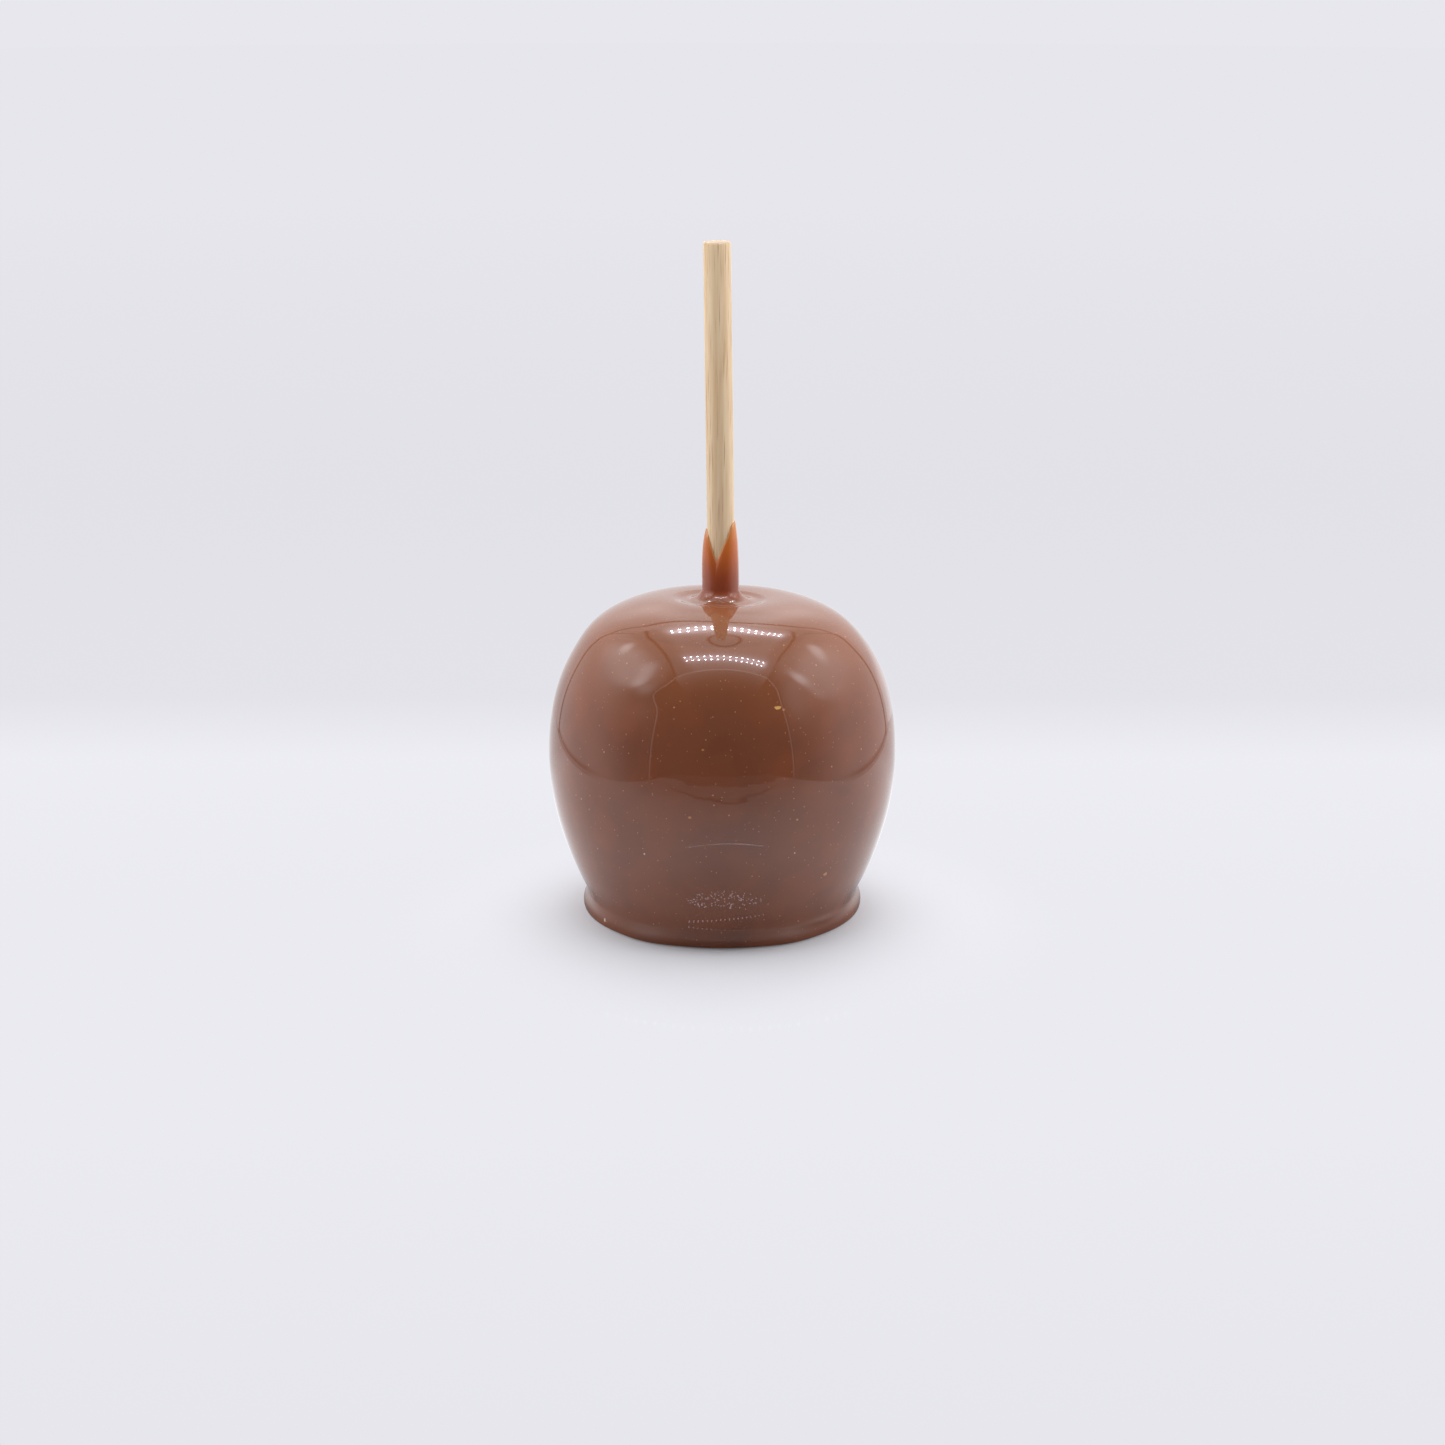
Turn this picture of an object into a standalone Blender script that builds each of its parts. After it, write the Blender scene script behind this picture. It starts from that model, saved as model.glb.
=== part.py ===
"""A chocolate caramel apple on a wooden stick, standing on the flat foot that its coat set into.

The origin is the middle of the foot's underside, on the surface that the apple stands on. +Z is up and -Y is
the front. Sizes are in metres. Azimuths are in degrees, 0 at the front and positive towards +X.
"""
import math

import bmesh
import bpy
import numpy as np
from mathutils import Vector

MM = 0.001
GAP = 0.3 * MM                    # left between the coat and the stick

# Stick: a quarter inch dowel, five and a half inches long, that leans a little to the left
STICK_RADIUS = 3.175 * MM
STICK_LENGTH = 139.7 * MM
STICK_TOP = 158.8 * MM
STICK_EDGE = 0.4 * MM             # the worn edge round each cut end
STICK_LEAN = 0.73                 # degrees, towards -X going up
STICK_X_AT_CREST = -0.1 * MM      # where its axis passes the top of the coat
STICK_SIDES = 48
WOOD_COLOUR = (0.62, 0.45, 0.28)
WOOD_ROUGHNESS = 0.55

# Coat: foot, flank and shoulder of the turned shape
FOOT_RADIUS = 33.25 * MM
FOOT_UNDERSIDE_RADIUS = 32.6 * MM
FOOT_LOWEST_RING = 0.5 * MM       # the rolled edge starts this far over the ground
FOOT_TOP = 4.6 * MM
FOOT_BULGE_HEIGHT = 1.5 * MM      # where the rolled edge is widest
FOOT_BULGE = 0.33 * MM
CREASE_SOFTNESS = (0.6 * MM, 1.1 * MM)  # how softly the foot runs into the flank, at the sides and in front
CREASE_FADE = (4.0 * MM, 14.0 * MM)
FRONT_SPAN = (80, 40)             # degrees from the front between which the ledge over the foot dies out
BELLY_RADIUS = 41.2 * MM
BELLY_HEIGHT = 38.5 * MM
FLANK_TUCK = (12.0 * MM, 10.0 * MM)  # how far the flank draws in to the ground, at the sides and in front
CREST_RADIUS = 10.5 * MM
CREST_HEIGHT = 75.1 * MM
SHOULDER_ROUNDNESS = (2.5, 2.1)   # superellipse powers, outwards and upwards
TILT_AZIMUTH = -30                # the top is highest this way, where its crest is wider and higher by:
CREST_SPREAD = 2.0 * MM
CREST_LIFT = 1.1 * MM
LIFT_END = 24.8 * MM              # radius where that lift has run out
COAT_COLOUR = (0.16, 0.045, 0.022)
COAT_ROUGHNESS = 0.08

# Gutter round the stick, the flare that climbs out of it, and the sleeve of thin caramel up the stick
GUTTER_RADIUS = 8.4 * MM
GUTTER_DEPTH = (0.35 * MM, 0.75 * MM)  # away from the tilt's azimuth, and at it
NECK_RADIUS = 4.35 * MM
FLARE_HEIGHT = 3.05 * MM
NECK_HEIGHT = CREST_HEIGHT - GUTTER_DEPTH[0] + FLARE_HEIGHT
RIM_RADIUS = 3.9 * MM
SLEEVE_OFFSET = -0.22 * MM        # the sleeve is thicker on its left side
LEAN_FADE = (16.0 * MM, 8.0 * MM)  # radii between which the top starts to follow the stick's lean
# The sleeve's edge between its notches and peaks: (azimuth, height)
RIM = ((-90, 92.2 * MM), (-62, 90.7 * MM), (-40, 88.1 * MM), (-19, 84.9 * MM), (16, 89.3 * MM),
       (50, 93.4 * MM), (82, 94.2 * MM), (170, 88.0 * MM), (270, 92.2 * MM))
RIM_NOMINAL = 90.0 * MM           # the height it is turned at, before it is stretched to the edge

# Unevenness of the apple under its coat
LOBES = 5
LOBE_DEPTH = 0.45 * MM
LOBE_AZIMUTH = 8
FLANK_LOBE_SHARE = 0.6            # the lobes' depth at the foot, as a share of that at the shoulder
# Shallow swells, and dents where the reach is negative: (azimuth, height, half width, half height, reach)
SWELLS = (
    (-90, 70.5 * MM, 32.0 * MM, 5.0 * MM, 0.95 * MM),
    (90, 71.5 * MM, 28.0 * MM, 3.5 * MM, 0.45 * MM),
    (-32, 61.8 * MM, 6.5 * MM, 2.8 * MM, 0.55 * MM),
    (30, 63.5 * MM, 4.5 * MM, 2.8 * MM, 0.26 * MM),
    (42, 58.5 * MM, 5.0 * MM, 2.6 * MM, 0.24 * MM),
    (150, 55.0 * MM, 9.0 * MM, 6.0 * MM, -0.50 * MM),
    (-120, 50.0 * MM, 8.0 * MM, 7.0 * MM, -0.35 * MM),
)
# Where the foot spread further over the ground: (azimuth, half width in degrees, reach)
FOOT_CORNERS = ((-32, 11, 0.7 * MM), (29, 11, 0.6 * MM), (112, 14, 0.6 * MM), (-140, 16, 0.7 * MM))

# Fineness
SEGMENTS = 84
FOOT_ROWS = 5
FLANK_ROWS = 12
SHOULDER_ROWS = 15
GUTTER_ROWS = 4
FLARE_ROWS = 5
SLEEVE_ROWS = 7
MERGE = 0.01 * MM
SHARP = math.radians(40)


def material(name, colour, roughness):
    made = bpy.data.materials.new(name)
    made.use_nodes = True
    shader = made.node_tree.nodes["Principled BSDF"]
    shader.inputs["Base Color"].default_value = (*colour, 1.0)
    shader.inputs["Roughness"].default_value = roughness
    shader.inputs["Metallic"].default_value = 0.0
    return made


def solid(name, bm, finish):
    """One object from a bmesh, with its normals pointing out and round faces shaded smooth."""
    bmesh.ops.recalc_face_normals(bm, faces=bm.faces)
    mesh = bpy.data.meshes.new(name)
    bm.to_mesh(mesh)
    bm.free()
    mesh.materials.append(finish)
    mesh.shade_smooth()
    mesh.set_sharp_from_angle(angle=SHARP)
    made = bpy.data.objects.new(name, mesh)
    bpy.context.collection.objects.link(made)
    return made


def stick_axis_x(height):
    """X of the leaning stick's axis at a height."""
    return STICK_X_AT_CREST - (height - CREST_HEIGHT) * math.tan(math.radians(STICK_LEAN))


def rod(name, radius, low, high, edge, finish):
    """A round rod on the stick's axis, between two distances from the stick's middle, with bevelled rims."""
    bm = bmesh.new()
    length = high - low
    bmesh.ops.create_cone(bm, cap_ends=True, segments=STICK_SIDES,
                          radius1=radius, radius2=radius, depth=length)
    bmesh.ops.translate(bm, verts=bm.verts, vec=(0, 0, (low + high) / 2))
    if edge:
        rims = [e for e in bm.edges if any(len(f.verts) > 4 for f in e.link_faces)]
        bmesh.ops.bevel(bm, geom=rims, offset=edge, segments=2, profile=0.5, affect="EDGES")
    made = solid(name, bm, finish)
    middle = STICK_TOP - STICK_LENGTH / 2
    made.location = Vector((stick_axis_x(middle), 0, middle))
    made.rotation_euler = (0, -math.radians(STICK_LEAN), 0)
    return made


def fade(value, start, end):
    """0 up to the start, 1 from the end on, and straight between them, whichever of the two is larger."""
    return np.clip((value - start) / (end - start), 0, 1)


def ease(value, start, end):
    """As fade, but leaving and arriving level: three times its square less twice its cube."""
    share = fade(value, start, end)
    return share ** 2 * (3 - 2 * share)


def hill(distance):
    """A smooth hill: 1 at no distance, near 0 beyond two."""
    return np.exp(-distance ** 2)


def turn_from(azimuth, start):
    """Degrees from one azimuth to another, the short way round."""
    return (azimuth - start + 180) % 360 - 180


def side_radius(z, front):
    """Radius at a height between the ground and the belly, for a share from 0 at the sides to 1 in front.

    The foot is a rolled edge, a parabola about the height where it bulges. The flank is a parabola down from
    the belly. The wider of the two counts, with the corner between them rounded by the crease's softness. In
    front the flank draws in less, and runs out in the foot.
    """
    softness, tuck = (side + (ahead - side) * front for side, ahead in (CREASE_SOFTNESS, FLANK_TUCK))
    foot = FOOT_RADIUS - FOOT_BULGE * ((z - FOOT_BULGE_HEIGHT) / FOOT_BULGE_HEIGHT) ** 2
    flank = BELLY_RADIUS - tuck * ((BELLY_HEIGHT - z) / BELLY_HEIGHT) ** 2
    return (foot + flank) / 2 + np.hypot((foot - flank) / 2, softness * (1 - fade(z, *CREASE_FADE)))


def foot_and_flank():
    """Radius over height, from the ground to the belly, as at the sides."""
    z = np.r_[np.linspace(FOOT_LOWEST_RING, FOOT_TOP, FOOT_ROWS, endpoint=False),
              np.linspace(FOOT_TOP, BELLY_HEIGHT, FLANK_ROWS + 1)]
    return side_radius(z, 0), z


def shoulder():
    """A quarter of a superellipse from the belly up and in to the crest, without its first point."""
    out, up = SHOULDER_ROUNDNESS
    turn = np.linspace(0, math.pi / 2, SHOULDER_ROWS + 1)[1:]
    r = CREST_RADIUS + (BELLY_RADIUS - CREST_RADIUS) * np.abs(np.cos(turn)) ** (2 / out)
    z = BELLY_HEIGHT + (CREST_HEIGHT - BELLY_HEIGHT) * np.sin(turn) ** (2 / up)
    return r, z


def gutter():
    """Half a cosine wave from the crest down and in to the bottom of the gutter, where it is shallow."""
    way = np.linspace(0, 1, GUTTER_ROWS + 1)[1:]
    r = CREST_RADIUS + (GUTTER_RADIUS - CREST_RADIUS) * way
    return r, CREST_HEIGHT - GUTTER_DEPTH[0] * (1 - np.cos(math.pi * way)) / 2


def flare():
    """A quarter ellipse out of the gutter, in and up to the neck."""
    turn = np.linspace(0, math.pi / 2, FLARE_ROWS + 1)[1:]
    r = GUTTER_RADIUS - (GUTTER_RADIUS - NECK_RADIUS) * np.sin(turn)
    return r, NECK_HEIGHT - FLARE_HEIGHT * np.cos(turn)


def sleeve():
    """From the neck up, almost straight, thinning towards the edge with the cube of the way."""
    way = np.linspace(0, 1, SLEEVE_ROWS + 1)[1:]
    r = NECK_RADIUS - (NECK_RADIUS - RIM_RADIUS) * way ** 3
    return r, NECK_HEIGHT + (RIM_NOMINAL - NECK_HEIGHT) * way


def rim_height(azimuth):
    """Height of the sleeve's edge, straight between its notches and peaks."""
    first = RIM[0][0]
    return np.interp((azimuth - first) % 360 + first, [at for at, _ in RIM], [height for _, height in RIM])


def grown(azimuth, r, z):
    """How far the apple's surface stands out from the turned shape.

    The lobes are a wave round the shoulder and the lower flank, the swells and dents are smooth hills and
    hollows, and the foot's corners are hills along its edge.
    """
    high = fade(z, BELLY_HEIGHT, CREST_HEIGHT)
    low = fade(z, BELLY_HEIGHT, FOOT_TOP) * fade(z, FOOT_TOP, 2 * FOOT_TOP)
    outer = fade(r, CREST_RADIUS, BELLY_RADIUS)
    wave = np.cos(np.radians(LOBES * (azimuth - LOBE_AZIMUTH)))
    out = LOBE_DEPTH * wave * outer * (high + FLANK_LOBE_SHARE * low)
    for at, height, half_width, half_height, reach in SWELLS:
        along = np.radians(turn_from(azimuth, at)) * r
        out += reach * np.sqrt(outer) * hill(np.hypot(along / half_width, (z - height) / half_height))
    edge = fade(z, FOOT_TOP, 0) * (r > FOOT_RADIUS / 2)
    for at, half_width, reach in FOOT_CORNERS:
        out += reach * edge * hill(turn_from(azimuth, at) / half_width)
    return out


def tilted(azimuth, r, z):
    """How much wider and higher the top is towards the tilt's azimuth, as a cosine about it.

    The spread is whole at the crest, and runs out at the belly and the gutter. The lift runs out down the
    shoulder, and is less by the gutter's further depth from there in.
    """
    share = (1 + np.cos(np.radians(azimuth - TILT_AZIMUTH))) / 2 * (z > BELLY_HEIGHT)
    spread = (1 - fade(r, CREST_RADIUS, BELLY_RADIUS)) * fade(r, GUTTER_RADIUS, CREST_RADIUS)
    shallow, deep = GUTTER_DEPTH
    lift = CREST_LIFT * ease(r, LIFT_END, CREST_RADIUS)
    dip = (deep - shallow) * ease(r, CREST_RADIUS, GUTTER_RADIUS)
    return CREST_SPREAD * share * spread, share * (lift - dip)


def uneven(x, y, z):
    """Moves the turned shape's points as the real apple is uneven.

    In front the flank meets the foot more softly. The top tilts, and the surface grows outwards by its
    lobes, swells and corners. Above the neck each height is stretched to the edge at its azimuth. The
    gutter, the flare and the sleeve follow the stick's leaning axis.
    """
    azimuth = np.degrees(np.arctan2(x, -y))
    r = np.hypot(x, y)
    side = (z > 0) & (z < BELLY_HEIGHT)
    front = ease(np.abs(azimuth), *FRONT_SPAN)
    spread, lift = tilted(azimuth, r, z)
    up_sleeve = np.clip((z - NECK_HEIGHT) / (RIM_NOMINAL - NECK_HEIGHT), 0, None)
    r = r + side * (side_radius(z, front) - side_radius(z, 0)) + spread
    r = r + grown(azimuth, r, z)
    neck = NECK_HEIGHT + lift
    z = np.where(up_sleeve > 0, neck + up_sleeve * (rim_height(azimuth) - neck), z + lift)
    offset = SLEEVE_OFFSET * np.clip(1 - up_sleeve, 0, 1)
    follow = fade(r, *LEAN_FADE) * (z > BELLY_HEIGHT) * (stick_axis_x(z) + offset)
    return r * np.sin(np.radians(azimuth)) + follow, -r * np.cos(np.radians(azimuth)), z


def turned_coat():
    """The outline, from the middle of the underside to the middle of the sleeve's top, spun round Z."""
    underside = (np.array([0, FOOT_UNDERSIDE_RADIUS]), np.zeros(2))
    top = (np.zeros(1), np.full(1, RIM_NOMINAL))
    runs = (underside, foot_and_flank(), shoulder(), gutter(), flare(), sleeve(), top)
    bm = bmesh.new()
    verts = [bm.verts.new((0, -r, z)) for run in runs for r, z in zip(*run)]
    edges = [bm.edges.new(pair) for pair in zip(verts, verts[1:])]
    bmesh.ops.spin(bm, geom=verts + edges, axis=(0, 0, 1), cent=(0, 0, 0), steps=SEGMENTS, angle=math.tau)
    bmesh.ops.remove_doubles(bm, verts=bm.verts, dist=MERGE)
    return bm


def make_coat():
    """The turned shape made uneven, centred over the origin, and bored for the stick."""
    finish = material("caramel_coat", COAT_COLOUR, COAT_ROUGHNESS)
    bm = turned_coat()
    places = np.c_[uneven(*np.array([v.co for v in bm.verts]).T)]
    body = places[:, :2]
    places[:, :2] -= (body.max(axis=0) + body.min(axis=0)) / 2
    for vert, place in zip(bm.verts, places):
        vert.co = place
    bmesh.ops.triangulate(bm, faces=bm.faces)
    coat = solid("coated_apple", bm, finish)

    half = STICK_LENGTH / 2
    cutter = rod("bore_cutter", STICK_RADIUS + GAP, -half - GAP, half, 0, finish)
    cutter.hide_render = True
    cutter.display_type = "WIRE"
    bore = coat.modifiers.new("bore", "BOOLEAN")
    bore.operation = "DIFFERENCE"
    bore.object = cutter


def make_stick():
    """The dowel, from its hidden end in the apple to its cut top."""
    half = STICK_LENGTH / 2
    rod("stick", STICK_RADIUS, -half, half, STICK_EDGE, material("pale_wood", WOOD_COLOUR, WOOD_ROUGHNESS))


for old in list(bpy.data.objects):
    bpy.data.objects.remove(old)
make_coat()
make_stick()
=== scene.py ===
"""A chocolate caramel apple on a wooden stick, in a white light box that is open at the front.

Sizes are in metres, +Z is up and the front faces -Y. Azimuths are in degrees, 0 at the front and positive
towards +X. Colours are linear.
"""
import math

import bpy
import numpy as np
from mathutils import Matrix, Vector


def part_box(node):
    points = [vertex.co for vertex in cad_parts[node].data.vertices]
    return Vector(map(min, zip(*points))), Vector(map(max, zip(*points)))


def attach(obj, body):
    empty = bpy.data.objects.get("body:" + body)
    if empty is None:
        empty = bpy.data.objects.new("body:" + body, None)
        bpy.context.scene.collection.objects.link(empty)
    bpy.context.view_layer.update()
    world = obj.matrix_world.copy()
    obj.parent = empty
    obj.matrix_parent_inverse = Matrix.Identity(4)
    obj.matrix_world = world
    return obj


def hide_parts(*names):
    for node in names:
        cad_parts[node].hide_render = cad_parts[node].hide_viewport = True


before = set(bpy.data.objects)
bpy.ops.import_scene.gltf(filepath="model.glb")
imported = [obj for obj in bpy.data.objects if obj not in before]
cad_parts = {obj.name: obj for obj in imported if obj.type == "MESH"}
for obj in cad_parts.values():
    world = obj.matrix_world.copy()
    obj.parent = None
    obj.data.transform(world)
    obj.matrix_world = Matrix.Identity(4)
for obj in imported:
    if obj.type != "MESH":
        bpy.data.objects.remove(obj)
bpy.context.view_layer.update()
MM = 0.001

# ---- Camera ---------------------------------------------------------------------------------------------
# A 50 mm lens over a 24 mm square sensor. It stands seven tenths of a metre in front of the apple, and looks
# down a little on it.
CAMERA_PLACE = (0.0001, -0.6891, 0.2388)
CAMERA_PITCH = 15.7               # degrees below the horizon
LENS = 50                         # millimetres, as Blender's camera has them
SENSOR = 24
CLIP = (0.01, 20)

camera = bpy.data.objects.new("camera", bpy.data.cameras.new("camera"))
camera.data.lens = LENS
camera.data.sensor_width = SENSOR
camera.data.clip_start, camera.data.clip_end = CLIP
camera.location = CAMERA_PLACE
camera.rotation_euler = (math.radians(90 - CAMERA_PITCH), 0, 0)
bpy.context.collection.objects.link(camera)
bpy.context.scene.camera = camera

# ---- Coated apple ---------------------------------------------------------------------------------------
# An apple dipped in milk chocolate caramel and stood on a flat sheet to set. The coat ran down into a foot
# round the base, dented over the apple's lobes, and was drawn up the stick as a thin sleeve.
FOOT_RADIUS = 33.25 * MM
FOOT_UNDERSIDE_RADIUS = 32.6 * MM
FOOT_LOWEST_RING = 0.5 * MM       # the rolled edge starts this far over the ground
FOOT_TOP = 4.6 * MM
FOOT_BULGE_HEIGHT = 1.5 * MM      # where the rolled edge is widest
FOOT_BULGE = 0.33 * MM            # how far it would draw in from there down to the ground
# How softly the foot runs into the flank, and how far the flank draws in down to the ground, each at the
# sides and in front
CREASE_SOFTNESS = (0.6 * MM, 1.1 * MM)
FLANK_TUCK = (12.0 * MM, 10.0 * MM)
FRONT_SPAN = (80, 40)             # degrees from the front between which the sides' values turn into its own
CREASE_FADE = (4.0 * MM, 14.0 * MM)  # heights between which the crease's softness dies out
BELLY_RADIUS = 41.2 * MM
BELLY_HEIGHT = 38.5 * MM
CREST_RADIUS = 10.5 * MM
CREST_HEIGHT = 75.1 * MM
SHOULDER_ROUNDNESS = (2.5, 2.1)   # superellipse powers, outwards and upwards
GUTTER_RADIUS = 8.4 * MM
GUTTER_DEPTH = (0.35 * MM, 0.75 * MM)  # away from the tilt's azimuth, and at it
NECK_RADIUS = 4.35 * MM
FLARE_HEIGHT = 3.05 * MM          # of the flare from the gutter up to the neck
TILT_AZIMUTH = -30                # the top is highest this way, where its crest is wider and higher by:
CREST_SPREAD = 2.0 * MM
CREST_LIFT = 1.1 * MM
LIFT_END = 24.8 * MM              # radius where that lift has run out
COLUMNS = 352                     # points in a row, once round the apple
UNDERSIDE_ROWS, ROLL_ROWS, FOOT_ROWS, FLANK_ROWS, SHOULDER_ROWS = 6, 4, 24, 64, 84
GUTTER_ROWS, FLARE_ROWS, SLEEVE_ROWS, EDGE_ROWS, BORE_ROWS = 16, 18, 32, 6, 6
FOOT_ROWS_TOP = 1.6 * FOOT_TOP    # up to here the rows are close

# Stick's axis, which the sleeve and the bore follow
STICK_RADIUS = 3.175 * MM
STICK_LENGTH = 139.7 * MM
STICK_TOP = 158.8 * MM
STICK_LEAN = 0.73                 # degrees, towards -X going up
STICK_X_AT_CREST = -0.1 * MM      # where its axis passes the top of the coat


def stick_axis_x(height):
    """X of the leaning stick's axis at a height."""
    return STICK_X_AT_CREST - (height - CREST_HEIGHT) * math.tan(math.radians(STICK_LEAN))


def fade(value, start, end):
    """0 up to the start, 1 from the end on, and straight between them, whichever of the two is larger."""
    return np.clip((value - start) / (end - start), 0, 1)


def ease(value, start, end):
    """As fade, but leaving and arriving level: three times its square less twice its cube."""
    share = fade(value, start, end)
    return share ** 2 * (3 - 2 * share)


def hill(distance):
    """A smooth hill, e to the power of minus the distance squared: 1 at none, near 0 beyond two."""
    return np.exp(-distance ** 2)


def turn_from(azimuth, start):
    """Degrees from one azimuth to another, the short way round."""
    return (azimuth - start + 180) % 360 - 180


def foot_and_flank(azimuth):
    """Radius over height, from the ground to the belly.

    The foot's rolled edge is a quarter round off the ground and then a parabola about the height where it
    bulges. The flank is a parabola down from the belly. The wider of the two counts, with the corner between
    them rounded by the crease's softness. In front the flank draws in less, and runs out in the foot.
    """
    front = ease(np.abs(azimuth), *FRONT_SPAN)
    softness, tuck = (side + (ahead - side) * front for side, ahead in (CREASE_SOFTNESS, FLANK_TUCK))
    turn = np.linspace(0, math.pi / 2, ROLL_ROWS + 2)[1:-1]
    z = np.r_[FOOT_LOWEST_RING * (1 - np.cos(turn)),
              np.linspace(FOOT_LOWEST_RING, FOOT_ROWS_TOP, FOOT_ROWS, endpoint=False),
              np.linspace(FOOT_ROWS_TOP, BELLY_HEIGHT, FLANK_ROWS + 1)][:, None]
    foot = FOOT_RADIUS - FOOT_BULGE * ((z - FOOT_BULGE_HEIGHT) / FOOT_BULGE_HEIGHT) ** 2
    lowest = FOOT_RADIUS - FOOT_BULGE * (FOOT_LOWEST_RING / FOOT_BULGE_HEIGHT - 1) ** 2
    foot[:ROLL_ROWS] = FOOT_UNDERSIDE_RADIUS + (lowest - FOOT_UNDERSIDE_RADIUS) * np.sin(turn)[:, None]
    flank = BELLY_RADIUS - tuck * ((BELLY_HEIGHT - z) / BELLY_HEIGHT) ** 2
    softness = softness * (1 - fade(z, *CREASE_FADE)) * fade(z, 0, FOOT_LOWEST_RING)
    return (foot + flank) / 2 + np.hypot((foot - flank) / 2, softness), z


def crest(azimuth):
    """Radius and height of the crest, and the height of the gutter, by a cosine about the tilt's azimuth."""
    share = (1 + np.cos(np.radians(azimuth - TILT_AZIMUTH))) / 2
    height = CREST_HEIGHT + CREST_LIFT * share
    shallow, deep = GUTTER_DEPTH
    return CREST_RADIUS + CREST_SPREAD * share, height, height - shallow - (deep - shallow) * share


def shoulder(azimuth):
    """A quarter of a superellipse from the belly up and in to the crest, without its first point.

    It ends at the crest's lowest height, and the crest's lift over that is added by an ease of the radius.
    """
    out, up = SHOULDER_ROUNDNESS
    radius, height, _ = crest(azimuth)
    turn = np.linspace(0, math.pi / 2, SHOULDER_ROWS + 1)[1:, None]
    r = radius + (BELLY_RADIUS - radius) * np.abs(np.cos(turn)) ** (2 / out)
    z = BELLY_HEIGHT + (CREST_HEIGHT - BELLY_HEIGHT) * np.sin(turn) ** (2 / up)
    return r, z + (height - CREST_HEIGHT) * ease(r, LIFT_END, radius)


def gutter(azimuth):
    """Half a cosine wave from the crest down and in to the bottom of the gutter."""
    radius, height, bottom = crest(azimuth)
    way = np.linspace(0, 1, GUTTER_ROWS + 1)[1:, None]
    z = height - (height - bottom) * (1 - np.cos(math.pi * way)) / 2
    return radius + (GUTTER_RADIUS - radius) * way, z


def flare(azimuth):
    """A quarter ellipse out of the gutter, in and up to the neck."""
    bottom = crest(azimuth)[2]
    turn = np.linspace(0, math.pi / 2, FLARE_ROWS + 1)[1:, None]
    r = GUTTER_RADIUS - (GUTTER_RADIUS - NECK_RADIUS) * np.sin(turn)
    return r, bottom + FLARE_HEIGHT * (1 - np.cos(turn))


# Unevenness of the apple under its coat
LOBES = 5
LOBE_DEPTH = 0.45 * MM
LOBE_AZIMUTH = 8
FLANK_LOBE_SHARE = 0.6            # the lobes' depth at the foot, as a share of that at the shoulder
# Shallow swells, and dents where the reach is negative: (azimuth, height, half width, half height, reach)
SWELLS = (
    (-90, 70.5 * MM, 32.0 * MM, 5.0 * MM, 0.95 * MM),
    (90, 71.5 * MM, 28.0 * MM, 3.5 * MM, 0.45 * MM),
    (-32, 61.8 * MM, 6.5 * MM, 2.8 * MM, 0.55 * MM),
    (30, 63.5 * MM, 4.5 * MM, 2.8 * MM, 0.26 * MM),
    (42, 58.5 * MM, 5.0 * MM, 2.6 * MM, 0.24 * MM),
    (43, 4.2 * MM, 4.5 * MM, 0.8 * MM, 0.35 * MM),
    (150, 55.0 * MM, 9.0 * MM, 6.0 * MM, -0.50 * MM),
    (-120, 50.0 * MM, 8.0 * MM, 7.0 * MM, -0.35 * MM),
)
# Where the foot spread further over the ground: (azimuth, half width in degrees, reach)
FOOT_CORNERS = ((-32, 11, 0.7 * MM), (29, 11, 0.6 * MM), (112, 14, 0.6 * MM), (-140, 16, 0.7 * MM))
# Soft ripples all over the coat, as sums of waves: (wavelength, depth)
RIPPLES = ((34 * MM, 0.050 * MM), (19 * MM, 0.012 * MM), (9 * MM, 0.0012 * MM))
WAVES_IN_A_RIPPLE = 9
RIPPLE_SEED = 7


def grown(azimuth, r, z):
    """How far the apple's surface stands out from the turned shape.

    The lobes are a wave round the shoulder and the lower flank, the swells and dents are smooth hills and
    hollows, and the foot's corners are hills along its edge.
    """
    high = fade(z, BELLY_HEIGHT, CREST_HEIGHT)
    low = fade(z, BELLY_HEIGHT, FOOT_TOP) * fade(z, FOOT_TOP, 2 * FOOT_TOP)
    outer = fade(r, CREST_RADIUS, BELLY_RADIUS)
    wave = np.cos(np.radians(LOBES * (azimuth - LOBE_AZIMUTH)))
    out = LOBE_DEPTH * wave * outer * (high + FLANK_LOBE_SHARE * low)
    for at, height, half_width, half_height, reach in SWELLS:
        along = np.radians(turn_from(azimuth, at)) * r
        out += reach * np.sqrt(outer) * hill(np.hypot(along / half_width, (z - height) / half_height))
    edge = fade(z, FOOT_TOP, 0) * (r > FOOT_RADIUS / 2)
    for at, half_width, reach in FOOT_CORNERS:
        out += reach * edge * hill(turn_from(azimuth, at) / half_width)
    return out


def ripple(x, y, z):
    """Sum of plane waves in drawn directions and phases, a few for each wavelength."""
    draw = np.random.default_rng(RIPPLE_SEED)
    out = np.zeros_like(x)
    for length, depth in RIPPLES:
        for _ in range(WAVES_IN_A_RIPPLE):
            way = draw.normal(size=3)
            way *= math.tau / length / np.linalg.norm(way)
            out += depth / math.sqrt(WAVES_IN_A_RIPPLE) * np.sin(
                way[0] * x + way[1] * y + way[2] * z + draw.uniform(0, math.tau))
    return out


# The sleeve's edge between its notches and peaks: (azimuth, height)
RIM = ((-90, 92.2 * MM), (-62, 90.7 * MM), (-40, 88.1 * MM), (-19, 84.9 * MM), (16, 89.3 * MM),
       (50, 93.4 * MM), (82, 94.2 * MM), (170, 88.0 * MM), (270, 92.2 * MM))
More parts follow.
